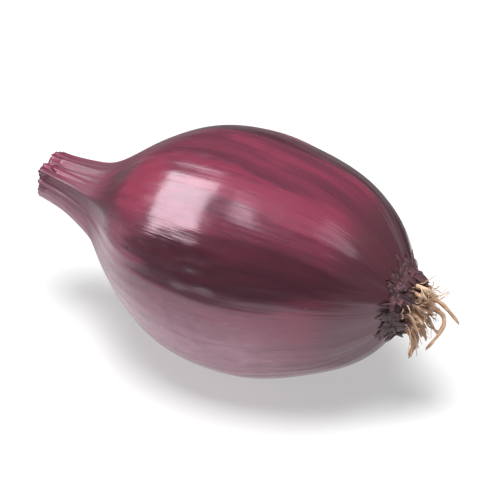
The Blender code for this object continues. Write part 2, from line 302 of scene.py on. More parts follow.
def piece_report(piece):
    """The line that a cell prints about a finished piece."""
    size = np.ptp(mesh_points(piece), axis=0) / MM
    return f"{piece.name}: {len(piece.data.polygons)} faces, {np.round(size, 1)} mm"


# %% [markdown]
# ## Finishes
# A material is a small graph of nodes. These helpers keep each graph readable: one makes a node and
# joins its inputs, one reads a value that the mesh stores, one is a noise, one an S-curve and one lays a
# wash of colour over what is there. A wash is (colour, how much of it shows at most, where its mask
# starts, where its mask is full). All colours are linear.

# %% Helpers for material nodes
def fixed(node, values):
    """Sets the inputs that are the same all over the surface on the node's own sockets."""
    for name, value in values.items():
        node.inputs[name].default_value = value


def new_material(name):
    """An empty node material with its Principled shader, and the functions that add nodes and join them."""
    material = bpy.data.materials.new(name)
    material.use_nodes = True
    tree = material.node_tree
    shader = tree.nodes["Principled BSDF"]

    def join(socket, value):
        if isinstance(value, bpy.types.NodeSocket):
            tree.links.new(value, socket)
        else:
            socket.default_value = value

    def add(kind, settings=None, **inputs):
        """An input called n0, n1 and so on is named by its number."""
        node = tree.nodes.new(kind)
        for key, value in (settings or {}).items():
            setattr(node, key, value)
        for key, value in inputs.items():
            join(node.inputs[int(key[1:])] if key[1:].isdigit() else node.inputs[key], value)
        return node

    return material, shader, add, join


def stored(add, name, kind="Fac"):
    """The value that the mesh stores under a name: Fac for a number and Vector for three."""
    return add("ShaderNodeAttribute", {"attribute_name": name}).outputs[kind]


def noise(add, vector, scale, detail=3.0, roughness=0.5, distortion=0.0):
    """Smooth noise between 0 and 1 at the given scale."""
    node = add("ShaderNodeTexNoise", None, Vector=vector, Scale=scale, Detail=detail)
    fixed(node, {"Roughness": roughness, "Distortion": distortion})
    return node.outputs["Fac"]


def stretched(add, vector, scale):
    """A vector with each of its parts multiplied, which draws a pattern out along the small ones."""
    return add("ShaderNodeVectorMath", {"operation": "MULTIPLY"}, n0=vector, n1=scale).outputs[0]


def number(add, operation, a, b=0.0, c=0.0):
    """One step of arithmetic."""
    return add("ShaderNodeMath", {"operation": operation}, n0=a, n1=b, n2=c).outputs[0]


def ragged(add, value, pattern, amount):
    """A value that a pattern between 0 and 1 moves up and down by half the amount."""
    return number(add, "MULTIPLY_ADD", number(add, "SUBTRACT", pattern, 0.5), amount, value)


def between(add, value, low, high):
    """0 where the value is under low, 1 where it is over high, and an S-curve between them."""
    node = add("ShaderNodeMapRange", {"interpolation_type": "SMOOTHSTEP"}, Value=value)
    fixed(node, {"From Min": low, "From Max": high})
    return node.outputs[0]


def blended(add, share, first, second):
    """The first colour where the share is 0 and the second where it is 1."""
    node = add("ShaderNodeMix", {"data_type": "RGBA"}, n0=share)
    for socket, value in ((node.inputs[6], first), (node.inputs[7], second)):
        if isinstance(value, bpy.types.NodeSocket):
            node.id_data.links.new(value, socket)
        else:
            socket.default_value = (*value, 1.0)
    return node.outputs[2]


def washed(add, below, value, wash):
    """A wash laid over a colour, where the value lies within the wash's mask."""
    colour, most, start, full = wash
    return blended(add, number(add, "MULTIPLY", between(add, value, start, full), most), below, colour)


def relieved(add, join, shader, height, strength, distance, pressed_in=False):
    """Gives the shader fine relief from a height between 0 and 1, `distance` metres high or deep."""
    bump = add("ShaderNodeBump", {"invert": pressed_in}, Height=height, Strength=strength, Distance=distance)
    join(shader.inputs["Normal"], bump.outputs[0])


# %% [markdown]
# ## The dry outer skin
# The outer scale of a red onion dries to a thin glossy paper. Its veins run from neck to root, its colour
# goes from crimson to purple between them, and it bleaches where it has lifted. The veins follow the
# bulb's own length, so the pattern reads a direction stored on the mesh and not the scene's axes: the
# cosine and the sine of the angle, and the place along the bulb. Noise that is drawn out along the last
# of them makes streaks, and it meets itself all the way round with no seam. The washes follow: fresh and
# browned skin with a painted glow beside the highlight, bleached fibres, the dry neck with painted shade
# at its foot, the root end, a paler side towards the table that is painted table glow, and last the torn
# patches of older skin, two of which are painted shade.

# %% The skin's finish
PURPLE = (0.078, 0.021, 0.037)
CRIMSON = (0.155, 0.030, 0.055), 1.0, 0.26, 0.66
BROWNED = (0.085, 0.033, 0.033), 0.50, 0.68, 0.46
BLEACHED = (0.112, 0.044, 0.060), 0.22, 0.52, 0.74
# Painted shade in the crease at the neck's foot.
NECK_FOOT_PAINTED_SHADE = (0.080, 0.015, 0.026), 0.9, 0.1, 1.1
ROOT_END_DARK = (0.082, 0.030, 0.039), 0.85, 0.1, 0.9
# This crimson is fresh skin in random patches, and painted glow in the patch beside the highlight.
FRESH_SKIN_AND_GLOW, FRESH_AND_GLOW_MOST, FRESH_BY_NOISE = (0.255, 0.038, 0.074), 0.85, 0.55
NECK_PAPER, NECK_PAPER_MOST, NECK_STREAKS = (0.130, 0.051, 0.070), 0.95, 0.45
# Painted glow of the white table, on the side of the skin towards it.
PAINTED_TABLE_GLOW = (0.330, 0.158, 0.216)
# This dark colour is older skin and the veins, and painted shade in two of the patches.
OLD_SKIN_AND_SHADE, OLD_AND_SHADE_MOST, VEIN_MOST = (0.040, 0.013, 0.019), 0.72, 0.16
# Where other masks start and are full.
FRESH_MASK, PAINTED_GLOW_MASK = (0.64, 0.78), (0.30, 0.80)
NECK_MASK, NECK_STREAK_MASK, OLD_AND_SHADE_MASK = (0.45, 1.0), (0.35, 0.65), (0.40, 0.58)
# How far streaks and mottling push the edges of the masks about.
NECK_SHADE_STREAKED, ROOT_STREAKED = 0.6, 0.9
PALE_STREAKED, PALE_MOTTLED = 0.6, 1.1
OLD_AND_SHADE_STREAKED, OLD_AND_SHADE_MOTTLED = 0.8, 0.12
# How dry the neck and the mottling make it, the roughness of moist and dry skin, and its relief.
NECK_DRY, MOTTLE_DRY = 0.75, 0.5
ROUGHNESS = {"From Min": 0.18, "From Max": 1.0, "To Min": 0.165, "To Max": 0.62}
FIBRE_RELIEF, MOTTLE_RELIEF, VEIN_RELIEF, OLD_AND_SHADE_RELIEF = 0.40, 0.08, 0.06, 0.25
# Each noise: how fine it is round the bulb and along it, then scale, detail, roughness and distortion.
SKIN_NOISES = [
    ((1.7, 0.5), 1.6, 3.0, 0.55, 0.0),
    ((7.0, 0.45), 1.0, 5.0, 0.65, 0.3),
    ((42.0, 1.1), 1.0, 3.0, 0.6, 0.0),
    ((9.0, 5.0), 1.4, 1.0, 0.5, 0.0),
    ((13.0, 0.28), 1.0, 1.0, 0.5, 0.15),
]
VEIN_WIDTH = 0.022
SKIN_RELIEF, SKIN_RELIEF_STRENGTH = 0.07 * MM, 0.6


def make_skin_material():
    """Washes over purple, a gloss that dulls where the skin is dry, and relief from fibres and veins."""
    material, shader, add, join = new_material("red_onion_skin")
    grain = stored(add, "grain", "Vector")
    broad, streaks, fibres, mottle, routes = (
        noise(add, stretched(add, grain, (across, across, along)), *settings)
        for (across, along), *settings in SKIN_NOISES
    )
    veins = number(add, "ABSOLUTE", number(add, "SUBTRACT", routes, 0.5))
    veins = between(add, veins, VEIN_WIDTH, 0.0)

    colour = washed(add, PURPLE, streaks, CRIMSON)
    fresh_and_glow = between(add, number(add, "MULTIPLY_ADD", streaks, 0.35, broad), *FRESH_MASK)
    fresh_and_glow = number(add, "MULTIPLY", fresh_and_glow, FRESH_BY_NOISE)
    # The stored patch beside the highlight is painted light: the left window's glow on the shoulder.
    fresh_and_glow = number(add, "MAXIMUM", fresh_and_glow, between(add, stored(add, "fresh_skin"), *PAINTED_GLOW_MASK))
    colour = blended(add, number(add, "MULTIPLY", fresh_and_glow, FRESH_AND_GLOW_MOST), colour, FRESH_SKIN_AND_GLOW)
    colour = washed(add, colour, number(add, "MULTIPLY_ADD", mottle, 0.5, broad), BROWNED)
    colour = washed(add, colour, fibres, BLEACHED)

    neck_streaks = between(add, streaks, *NECK_STREAK_MASK)
    neck_streaks = number(add, "MULTIPLY_ADD", neck_streaks, -NECK_STREAKS, NECK_PAPER_MOST)
    neck = number(add, "MULTIPLY", between(add, stored(add, "neck_share"), *NECK_MASK), neck_streaks)
    colour = blended(add, neck, colour, NECK_PAPER)
    # Painted shade in the crease where the neck meets the shoulder.
    neck_shade = ragged(add, stored(add, "neck_foot"), streaks, NECK_SHADE_STREAKED)
    colour = washed(add, colour, neck_shade, NECK_FOOT_PAINTED_SHADE)
    root_end = ragged(add, stored(add, "root_share"), streaks, ROOT_STREAKED)
    colour = washed(add, colour, root_end, ROOT_END_DARK)
    # The paler side towards the table is painted light: the glow that the white table throws back.
    pale = ragged(add, ragged(add, 1.0, streaks, PALE_STREAKED), mottle, PALE_MOTTLED)
    colour = blended(add, number(add, "MULTIPLY", stored(add, "pale_side"), pale), colour, PAINTED_TABLE_GLOW)

    # The patch mask is older skin, and painted shade in two patches: the dark band along the front and a
    # darker top edge near the root end.
    patch_edge = ragged(add, stored(add, "old_skin"), streaks, OLD_AND_SHADE_STREAKED)
    old_and_shade = between(add, ragged(add, patch_edge, mottle, OLD_AND_SHADE_MOTTLED), *OLD_AND_SHADE_MASK)
    colour = blended(add, number(add, "MULTIPLY", old_and_shade, OLD_AND_SHADE_MOST), colour, OLD_SKIN_AND_SHADE)
    colour = blended(add, number(add, "MULTIPLY", veins, VEIN_MOST), colour, OLD_SKIN_AND_SHADE)
    join(shader.inputs["Base Color"], colour)

    dry = number(add, "MULTIPLY", mottle, MOTTLE_DRY)
    dry = number(add, "MULTIPLY_ADD", stored(add, "neck_share"), NECK_DRY, dry)
    rough = add("ShaderNodeMapRange", None, Value=dry)
    fixed(rough, ROUGHNESS)
    join(shader.inputs["Roughness"], rough.outputs[0])
    fixed(shader, {"IOR": 1.5, "Specular IOR Level": 0.9, "Specular Tint": (1.0, 0.77, 0.90, 1.0)})
    fixed(shader, {"Coat Weight": 0.15, "Coat Roughness": 0.12})
    height = number(add, "MULTIPLY", mottle, MOTTLE_RELIEF)
    for pattern, rise in ((fibres, FIBRE_RELIEF), (veins, VEIN_RELIEF), (old_and_shade, OLD_AND_SHADE_RELIEF)):
        height = number(add, "MULTIPLY_ADD", pattern, rise, height)
    relieved(add, join, shader, height, SKIN_RELIEF_STRENGTH, SKIN_RELIEF, pressed_in=True)
    return material


skin_material = make_skin_material()
print("nodes in the skin's finish:", len(skin_material.node_tree.nodes))

# %% [markdown]
# ## The skin's surface
# The fine surface is the grown shape with small relief on it: low lumps, veins that stand out a little,
# one patch where the paper has wrinkled, and the neck's fine folds. At the neck it turns over the cut rim
# into a shallow dish, and at the other end it closes behind the root plate. It is pressed flat where the
# bulb rests. The relief is made of waves that turn round the bulb as they run along it, because real
# veins and folds wander in that way.

# %% The relief of the skin
QUARTER = math.pi / 2
# Each wave is (how many times round, turn for each mm along, size, phase). The lumps and the neck's folds
# have sizes in mm.
LUMPS = [(2, 0.30, 0.055, 0.3), (3, -0.42, 0.050, 2.1), (5, 0.55, 0.030, 4.0), (7, -0.8, 0.018, 1.2)]
WANDER = [(3, 0.5, 0.35, 0.0), (7, 1.1, 0.2, 0.0)]
VEIN_SWELL, VEIN_LEVEL = [(5, 0.2, 0.4, 0.0)], 0.6
WRINKLES = [(38, 0.9, 1.0, 0.0), (23, -1.9, 0.7, 1.0), (9, 2.6, 0.6, 0.0)]
NECK_FOLDS = [
    (13, 0.10, 0.060, 0.5 + QUARTER),
    (21, -0.16, 0.045, 2.0 + QUARTER),
    (34, 0.25, 0.022, 1.0 + QUARTER),
]
VEIN_COUNT, VEIN_HEIGHT = 44, 0.020 * MM
WRINKLE_PLACE, WRINKLE_HALF_LENGTH = -0.8 * MM, 3.4 * MM
WRINKLE_ANGLE, WRINKLE_HALF_ANGLE = math.radians(158), math.radians(11)
WRINKLE_HEIGHT = 0.0375 * MM
FOLDS_START, FOLDS_FULL = -7.5 * MM, -15.0 * MM
FADE_RADIUS = 6.0 * MM


def twisted(angle, x, waves_along):
    """The sum of sine waves round the axis that turn as they run along it; x is the place in mm."""
    return sum(size * np.sin(times * angle + turn * x + phase) for times, turn, size, phase in waves_along)


def relief(place, angle):
    """How far the skin stands out: lumps and veins, a bell of wrinkles, and the neck's folds."""
    x = place / MM
    lumps = MM * twisted(angle, x, LUMPS)
    veins = VEIN_HEIGHT * np.cos(VEIN_COUNT * angle + twisted(angle, x, WANDER))
    veins = veins * (VEIN_LEVEL + twisted(angle, x, VEIN_SWELL))
    off = turned_away(angle, WRINKLE_ANGLE) / WRINKLE_HALF_ANGLE
    bell = np.exp(-(off**2) - ((place - WRINKLE_PLACE) / WRINKLE_HALF_LENGTH) ** 2)
    wrinkles = WRINKLE_HEIGHT * bell * twisted(angle, x, WRINKLES)
    folds = MM * twisted(angle, x, NECK_FOLDS) * smooth_step(FOLDS_START, FOLDS_FULL, place)
    return smooth_step(0.0, FADE_RADIUS, radius_at(place)) * (lumps + veins) + wrinkles + folds


print("relief round the middle, from lowest to highest, mm:", round(np.ptp(relief(0.0, around)) / MM, 2))

# %% [markdown]
# ## Where the skin is old, and where light and shade are painted on it
# Older skin still lies over the fresh one in long torn patches. Two of the patches are painted shade: the
# dark band along the front and a darker top edge near the root end. A patch beside the highlight is a
# painted glow, one at the neck's foot is painted shade, and the side towards the table is painted paler,
# as the glow that the table throws back. A patch is a lens on the unrolled skin, with a bell's height: its
# finish cuts the bell with noise, which gives it a torn edge. These shares are worked out once for each
# point and stored on the mesh.

# %% Patches of skin, as values for each point
# Each patch is (place, angle, half length, half angle, turn for each mm along), in mm and degrees.
# The first two patches are painted shade: the dark band along the front of the middle, and a darker top edge
# near the root end. The others are older skin.
OLD_SKIN_AND_SHADE_PATCHES = [
    (2.0, 153, 9.5, 17, -0.6),
    (9.5, 48, 8.0, 12, -1.6),
    (2.0, 12, 10.0, 13, 0.3),
    (-3.0, 66, 8.0, 7, -0.5),
    (3.0, 268, 11.0, 16, 0.4),
    (-2.0, 305, 10.0, 13, -0.3),
]
# The glow patch is painted light, where the left window's light falls beside the highlight.
PAINTED_GLOW_PATCHES = [(-8.6, 124, 2.6, 22, 0.0)]
# The neck's foot patch is painted shade in its crease.
NECK_SHADE_PATCHES = [(-12.3, 128, 1.4, 36, 0.0)]
# The pale patch low on the flank near the neck is painted glow from the table, as is the pale side.
PALE_PATCHES, PALE_PATCH_MOST = [(-11.3, 171, 4.0, 16, 0.0)], 0.75
PATCH_FALL = 0.7
PALE_STARTS, PALE_FULL, PALE_MIDDLE = math.radians(67), math.radians(14), math.radians(224)
PALE_FROM, PALE_TO = 2.0 * MM, 11.0 * MM
DRY_NECK_STARTS, DRY_NECK_FULL = -9.0 * MM, -17.0 * MM
DARK_ROOT_STARTS, DARK_ROOT_FULL = 7.5 * MM, 13.0 * MM
GRAIN_LENGTH = 10.0 * MM


def lens_share(patches, place, angle):
    """How far the patches cover a point: a bell that is 1 in a lens's middle and a half on its rim."""
    share = 0.0
    for centre, direction, half_length, half_angle, turn in patches:
        off = place / MM - centre
        aside = turned_away(angle, np.radians(direction + turn * off)) / math.radians(half_angle)
        share = np.maximum(share, np.exp(-PATCH_FALL * ((off / half_length) ** 2 + aside**2)))
    return share


def table_glow_share(place, angle):
    """How much painted table glow a point has: 1 along the middle of the side towards the table, less round
    it and to the root end.
    """
    round_it = smooth_step(PALE_STARTS, PALE_FULL, np.abs(turned_away(angle, PALE_MIDDLE)))
    side = round_it * smooth_step(PALE_TO, PALE_FROM, place)
    return np.maximum(side, PALE_PATCH_MOST * lens_share(PALE_PATCHES, place, angle))


def store_skin(piece, place, angle, neck_share=None):
    """Keeps what the skin's finish reads: its grain, how near it is to neck and root, and its patches."""
    if neck_share is None:
        neck_share = smooth_step(DRY_NECK_STARTS, DRY_NECK_FULL, place)
    store(piece, "grain", np.stack([np.cos(angle), np.sin(angle), place / GRAIN_LENGTH], -1))
    store(piece, "neck_share", neck_share)
    store(piece, "root_share", smooth_step(DARK_ROOT_STARTS, DARK_ROOT_FULL, place))
    store(piece, "pale_side", table_glow_share(place, angle))
    lenses = {"old_skin": OLD_SKIN_AND_SHADE_PATCHES, "fresh_skin": PAINTED_GLOW_PATCHES, "neck_foot": NECK_SHADE_PATCHES}
    for name, patches in lenses.items():
        store(piece, name, lens_share(patches, place, angle))


# %% The bulb's skin, from the neck's middle to the root face
SKIN_ROWS, SKIN_COLUMNS = 268, 320
NECK_DISH_DEEP, NECK_DISH_ROWS, NECK_DISH_SPAN = 0.75 * MM, 10, (0.04, 0.93)
ROOT_FACE_ROWS, ROOT_FACE_SPAN = 5, (0.88, 0.08)


def skin_rows():
    """The rows of the skin, as places and radii: the neck's dish, the outline, and the root face."""
    places, radii = outline_points(SKIN_ROWS)
    inward = np.linspace(*NECK_DISH_SPAN, NECK_DISH_ROWS) * radii[0]
    dish = places[0] + NECK_DISH_DEEP * (1.0 - (inward / radii[0]) ** 2)
    face = np.linspace(*ROOT_FACE_SPAN, ROOT_FACE_ROWS) * radii[-1]
    places = np.concatenate([dish, places, np.full(ROOT_FACE_ROWS, ROOT_FACE_PLACE)])
    return places, np.concatenate([inward, radii, face])


def make_bulb_skin():
    """The grown shape and its relief on a grid of places and angles, flat where it would go below z = 0."""
    places, radii = skin_rows()
    angle = full_turn(SKIN_COLUMNS)
    place, radius = places[:, None], radii[:, None]
    grid = laid(grown(place, radius + relief(place, angle) * radius / radius_at(place), angle))
    grid[..., 2] = np.maximum(grid[..., 2], 0.0)
    points, faces = capped(grid)
    piece = new_piece("bulb_skin", points, faces, skin_material)
    every_place = np.append(np.repeat(places, SKIN_COLUMNS), places[[0, -1]])
    every_angle = np.append(np.tile(angle, len(places)), [0.0, 0.0])
    store_skin(piece, every_place, every_angle)
    return piece


bulb_skin = make_bulb_skin()
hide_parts("bulb")
print(piece_report(bulb_skin), signed_volume(bulb_skin), "cubic mm")

# %% [markdown]
# ## The cut neck
# Where the dry neck was cut, it shows what it is: the bases of several leaves, one round the other, each a
# thin ragged sheet. Each is a ring of the neck's own surface at its own distance inside or outside it. It
# starts sunk under the skin and rises out of it, and its free edge is a torn line: a sum of sine waves.

# %% The neck's papery ends
NECK_COLUMNS, NECK_ROWS = 160, 12
NECK_SHEETS = MM * np.array([
    # where it starts, how far it runs past the rim, how ragged it is, how far it lies outside the neck
    (-13.8, -0.60, 0.55, 0.05),
    (-17.5, 0.05, 0.22, 0.02),
    (-19.6, 0.10, 0.20, -0.42),
    (-19.8, -0.05, 0.18, -0.85),
    (-20.0, -0.15, 0.15, -1.30),
])
SHEET_THICKNESS, SHEET_TUCK, SHEET_CRINKLE = 0.07 * MM, 0.14 * MM, 0.04 * MM
SHEET_DRY_LOST = 0.75
# Each tooth of a torn line is (how many times round, size).
TEETH = [(3, 0.35), (7, 0.38), (16, 0.30), (29, 0.18), (53, 0.10), (83, 0.05)]


def torn_line(angle, draw):
    """A ragged edge, mostly between -1 and 1: sine waves of rising count, with phases drawn."""
    line = 0.0
    for times, size in TEETH:
        line = line + size * np.sin(times * angle + draw.uniform(0, 6.28))
    return line


def make_neck_sheets():
    """Rings of the neck's surface, from where each starts to its torn line, with a low crinkle."""
    draw = random.Random(3)
    angle = full_turn(NECK_COLUMNS)
    along = np.linspace(0.0, 1.0, NECK_ROWS)[:, None]
    points, places, shares, faces = [], [], [], []
    for start, past, ragged_by, outside in NECK_SHEETS:
        edge = OUTLINE[0, 0] - past + ragged_by * torn_line(angle, draw)
        place = start + (edge - start) * along
        crinkle = SHEET_CRINKLE * np.sin(11 * angle + 4 * along + draw.uniform(0, 6)) * along
        rise = outside + SHEET_TUCK * (smooth_step(0.0, 0.5, along) - 1.0)
        sheet = laid(grown(place, radius_at(place) + relief(place, angle) + rise + crinkle, angle))
        faces.append(grid_faces(NECK_ROWS, NECK_COLUMNS)[:, ::-1] + len(points) * place.size)
        points.append(sheet.reshape(-1, 3))
        places.append(place.ravel())
        shares.append(np.repeat(1.0 - SHEET_DRY_LOST * along**3, NECK_COLUMNS))
    piece = new_piece("neck_sheets", np.concatenate(points), faces, skin_material)
    every_angle = np.tile(angle, NECK_ROWS * len(NECK_SHEETS))
    store_skin(piece, np.concatenate(places), every_angle.ravel(), np.concatenate(shares))
    thicken(piece, SHEET_THICKNESS)
    return piece


neck_sheets = make_neck_sheets()
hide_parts("bulb")
print(piece_report(neck_sheets))

# %% [markdown]
# ## Torn older skin
# Round the root end the older skins have dried dark and torn. They lie in thin layers over each other,
# each ragged at both edges, with loose flakes between. A layer is a ring of the bulb's own surface, lifted
# a little, whose edges are moved along the bulb by a sum of sine waves. A flake is a small strip of the
# same surface with a seeded draw for its size. Solidify gives both the thickness of paper.

# %% Layers and flakes, as parts of the bulb's surface
PAPER = 0.06 * MM
LAYER_ROWS, LAYER_COLUMNS = 12, 300
LAYER_CRINKLE, LAYER_RISE = 0.035 * MM, 0.10 * MM
LAYERS = MM * np.array([
    # the front edge, the length, how ragged the two edges are, how high it lies
    (15.30, 1.3, 0.22, 0.45, 0.02),
    (15.15, 1.0, 0.28, 0.32, 0.08),
    (15.05, 0.7, 0.30, 0.25, 0.15),
])
MOUTH_TUCK, TUCK_FROM, TUCK_FULL = 0.30 * MM, 14.2 * MM, 15.6 * MM
FLAKE_ROWS, FLAKE_COLUMNS = 9, 12
FLAKE_LOWEST, FLAKE_LEAST_RADIUS = 0.05 * MM, 2.2 * MM
SHRED_START, SHRED_SUNK, SHRED_LIFT, SHRED_RADIUS_PLACE = 14.7 * MM, 0.5 * MM, 0.12 * MM, 14.3 * MM


def layer_of_skin(front, length, front_ragged, back_ragged, lift, draw):
    """A ring of the surface between two torn lines, with low crinkles, rising a little to its back edge."""
    angle = full_turn(LAYER_COLUMNS)
    along = np.linspace(0.0, 1.0, LAYER_ROWS)[:, None]
    first = front + front_ragged * torn_line(angle, draw)
    last = front - length + back_ragged * torn_line(angle, draw)
    place = first + (last - first) * along
    crinkle = LAYER_CRINKLE * np.sin(23 * angle + 5 * along + draw.uniform(0, 6)) * (0.3 + along)
    height = lift + crinkle + LAYER_RISE * along**3 * np.maximum(torn_line(angle, draw), 0.0)
    height = height - MOUTH_TUCK * smooth_step(TUCK_FROM, TUCK_FULL, place)
    return grown(place, radius_at(place) + height, angle), along**4 * np.ones_like(angle)


def strip_grid():
    """The two parameters of a strip: along it from 0 to 1, and across it from -1 to 1."""
    return np.linspace(0.0, 1.0, FLAKE_ROWS)[:, None], np.linspace(-1.0, 1.0, FLAKE_COLUMNS)[None, :]


def flake(place, angle, length, width, lift, rise, curl, skew, jag):
    """A strip from a place towards the neck: a little narrower and higher to its end, which is ragged."""
    along, across = strip_grid()
    end = 1.0 - 0.25 * across**2 + 0.22 * np.sin(across * jag[0] + jag[1])
    end = end + 0.16 * np.sin(across * 3.1 * jag[0] + 2.0 * jag[1])
    places = place - length * along * end
    half = width / 2 * (1.0 - 0.35 * along**1.5)
    angles = angle + (half * across + skew * along**2) / np.maximum(radius_at(places), FLAKE_LEAST_RADIUS)
    height = lift + rise * along**2 + curl * (across**2 - 0.3) * (0.3 + along)
    points = grown(places, radius_at(places) + np.maximum(height, FLAKE_LOWEST), angles)
    return points, np.maximum(across**4, along**5)


def mouth_shred(angle, length, width, inward, curl):
    """A strip from the mouth out over the roots: straight along the bulb, and drawn in towards its axis."""
    along, across = strip_grid()
    place = SHRED_START + (length + SHRED_SUNK) * along * (1.0 - 0.25 * across**2)
    radius = radius_at(SHRED_RADIUS_PLACE) + SHRED_LIFT - inward * along**2 + curl * across**2 * along
    half = width / 2 * (1.0 - 0.6 * along**1.3)
    angles = angle + half * across / radius
    points = np.stack([place, radius * np.cos(angles), radius * np.sin(angles)], -1)
    return points, np.maximum(across**4, along**4)


print("points in a layer:", LAYER_ROWS * LAYER_COLUMNS, "and in a flake:", FLAKE_ROWS * FLAKE_COLUMNS)

# %% [markdown]
# ## The torn skin, put together
# The draws come from one seeded source and always in the same order, so every run tears the skin alike.
# Loose flakes lie all round. Shreds hang over the mouth only on the upper and the front side, where they
# dried clear of the ground.

# %% Every layer, flake and shred in one piece
FLAKE_SETS = [
    # how many, front edge, shortest and longest, narrowest and widest, how high they lie
    (20, 14.9 * MM, (0.4 * MM, 1.1 * MM), (0.4 * MM, 1.1 * MM), 0.08 * MM),
    (18, 15.2 * MM, (0.4 * MM, 1.0 * MM), (0.3 * MM, 0.9 * MM), 0.18 * MM),
]
LAYER_TINT = 0.25
MOUTH_SHREDS = 24
MOUTH_FROM, MOUTH_TO = math.radians(15), math.radians(205)


def make_torn_skin(material):
    """The layers, then the flakes, then the shreds, each with its edge share and its tint."""
    draw = random.Random(5)
    patches = [(*layer_of_skin(*layer, draw), True, LAYER_TINT) for layer in LAYERS]
    for how_many, place, lengths, widths, lift in FLAKE_SETS:
        for i in range(how_many):
            angle = 2 * math.pi * (i + draw.uniform(-0.4, 0.4)) / how_many
            shape = flake(
                place + draw.uniform(-0.5, 0.3) * MM, angle, draw.uniform(*lengths), draw.uniform(*widths),
                lift, draw.uniform(0.0, 0.12) * MM, draw.uniform(-0.06, 0.08) * MM,
                draw.uniform(-0.4, 0.4) * MM, (draw.uniform(4, 9), draw.uniform(0, 6)),
            )
            patches.append((*shape, False, draw.random()))
    for i in range(MOUTH_SHREDS):
        angle = MOUTH_FROM + (MOUTH_TO - MOUTH_FROM) * (i + draw.uniform(-0.4, 0.4)) / MOUTH_SHREDS
        shape = mouth_shred(
            angle, draw.uniform(0.3, 1.3) * MM, draw.uniform(0.5, 1.2) * MM,
            draw.uniform(0.3, 1.5) * MM, draw.uniform(-0.2, 0.2) * MM,
        )
        patches.append((*shape, False, draw.random()))
    points, edges, tints, faces = [], [], [], []
    count = 0
    for shape, edge, closed, tint in patches:
        points.append(shape.reshape(-1, 3))
        edges.append(edge.ravel())
        tints.append(np.full(edge.size, tint))
        faces.append(grid_faces(*edge.shape, closed) + count)
        count += edge.size
    piece = new_piece("torn_skin_layers", laid(np.concatenate(points)), faces, material)
    store(piece, "edge", np.concatenate(edges))
    store(piece, "tint", np.concatenate(tints))
    thicken(piece, PAPER)
    return piece


# %% The torn skin's finish: dark purple brown, with pale silvery edges
TORN_DARK, TORN_DARK_MOST = (0.050, 0.025, 0.031), 0.6
TORN_RED = (0.105, 0.044, 0.052)
TORN_EDGE, TORN_EDGE_MOST = (0.160, 0.092, 0.094), 0.7
TORN_FINE, TORN_COARSE = 2600.0, 700.0


def make_torn_material():
    """Each layer's own tint, darker in blotches, and paler at its torn edges in a broken line."""
    material, shader, add, join = new_material("torn_dry_skin")
    place = add("ShaderNodeTexCoord").outputs["Object"]
    fine = noise(add, place, TORN_FINE, 3.0, 0.6)
    coarse = noise(add, place, TORN_COARSE, 2.0)
    colour = blended(add, stored(add, "tint"), TORN_DARK, TORN_RED)
    colour = washed(add, colour, coarse, (TORN_DARK, TORN_DARK_MOST, 0.45, 0.7))
    pale = number(add, "MULTIPLY", stored(add, "edge"), between(add, fine, 0.30, 0.60))
    colour = blended(add, number(add, "MULTIPLY", pale, TORN_EDGE_MOST), colour, TORN_EDGE)
    join(shader.inputs["Base Color"], colour)
    fixed(shader, {"Roughness": 0.42})
    relieved(add, join, shader, fine, 0.6, 0.05 * MM)
    return material


torn_skin = make_torn_skin(make_torn_material())
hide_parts("torn_skin")
print(piece_report(torn_skin), "before it gets its thickness")

# %% [markdown]
# ## The root plate
# The roots grow from a flat corky plate. It is a low dome with a lumpy face, a function of the distance
# from its middle and of the angle, closed at its front and back.

# %% The plate
PLATE_GAP = 0.15 * MM
PLATE_BASE = ROOT_FACE_PLACE + PLATE_GAP
PLATE_RADIUS, PLATE_THICKNESS, PLATE_CROWN = 2.4 * MM, 0.5 * MM, 0.35 * MM
PLATE_COLUMNS, PLATE_FACE_ROWS = 120, 26
PLATE_LUMP, PLATE_RIM, PLATE_BACK = 0.07 * MM, 0.1 * MM, 0.2 * MM


def plate_height(radius):
    """How far along the axis the plate's outer face lies, at a distance from its middle."""
    return PLATE_BASE + PLATE_THICKNESS + PLATE_CROWN * (1 - (radius / PLATE_RADIUS) ** 2)


def plate_lumps(radius, angle):
    """The cork's lumps on the outer face: sines of the distance and the angle, none in the middle."""
    r = radius / MM
    lumps = np.sin(6.1 * r + 3 * angle) * np.sin(4.3 * r - 7 * angle + 1.0)
    lumps = lumps + 0.6 * np.sin(11 * angle + 5 * r)
    return PLATE_LUMP * lumps * smooth_step(0.0, 0.5 * MM, radius)


def make_root_plate(material):
    """The lumpy outer face on a grid of distances and angles, then its rim, then its flat back."""
    angle = full_turn(PLATE_COLUMNS)
    ripple = 1.0 + 0.02 * np.sin(9 * angle) + 0.015 * np.sin(23 * angle + 1.0)
    face = np.linspace(0.04, 0.97, PLATE_FACE_ROWS)[:, None] * PLATE_RADIUS
    front = plate_height(face) + plate_lumps(face, angle)
    edge = np.array([1.0, 1.0, 0.9, 0.5, 0.05])[:, None] * PLATE_RADIUS
    rim = [plate_height(PLATE_RADIUS) - PLATE_RIM, PLATE_BASE + PLATE_BACK]
    back = np.array(rim + [PLATE_BASE] * 3)[:, None] * np.ones_like(angle)
    place = np.concatenate([front, back])
    radius = np.concatenate([face, edge]) * ripple
    points, faces = capped(np.stack([place, radius * np.cos(angle), radius * np.sin(angle)], -1))
    return new_piece("root_plate", laid(points), [face[:, ::-1] for face in faces], material)


print("how far the plate stands out, mm:", round((plate_height(0.0) - ROOT_FACE_PLACE) / MM, 2))

# %% [markdown]
# ## The dry roots
# About thirty short roots stand in rings on the plate, and five longer ones hang from its edge. Each
# follows the same parabola as its solid, drawn with the same seed, with a small wander added, and beside
# each runs a thinner fibre that wanders more. Fine hairs fill the tuft.

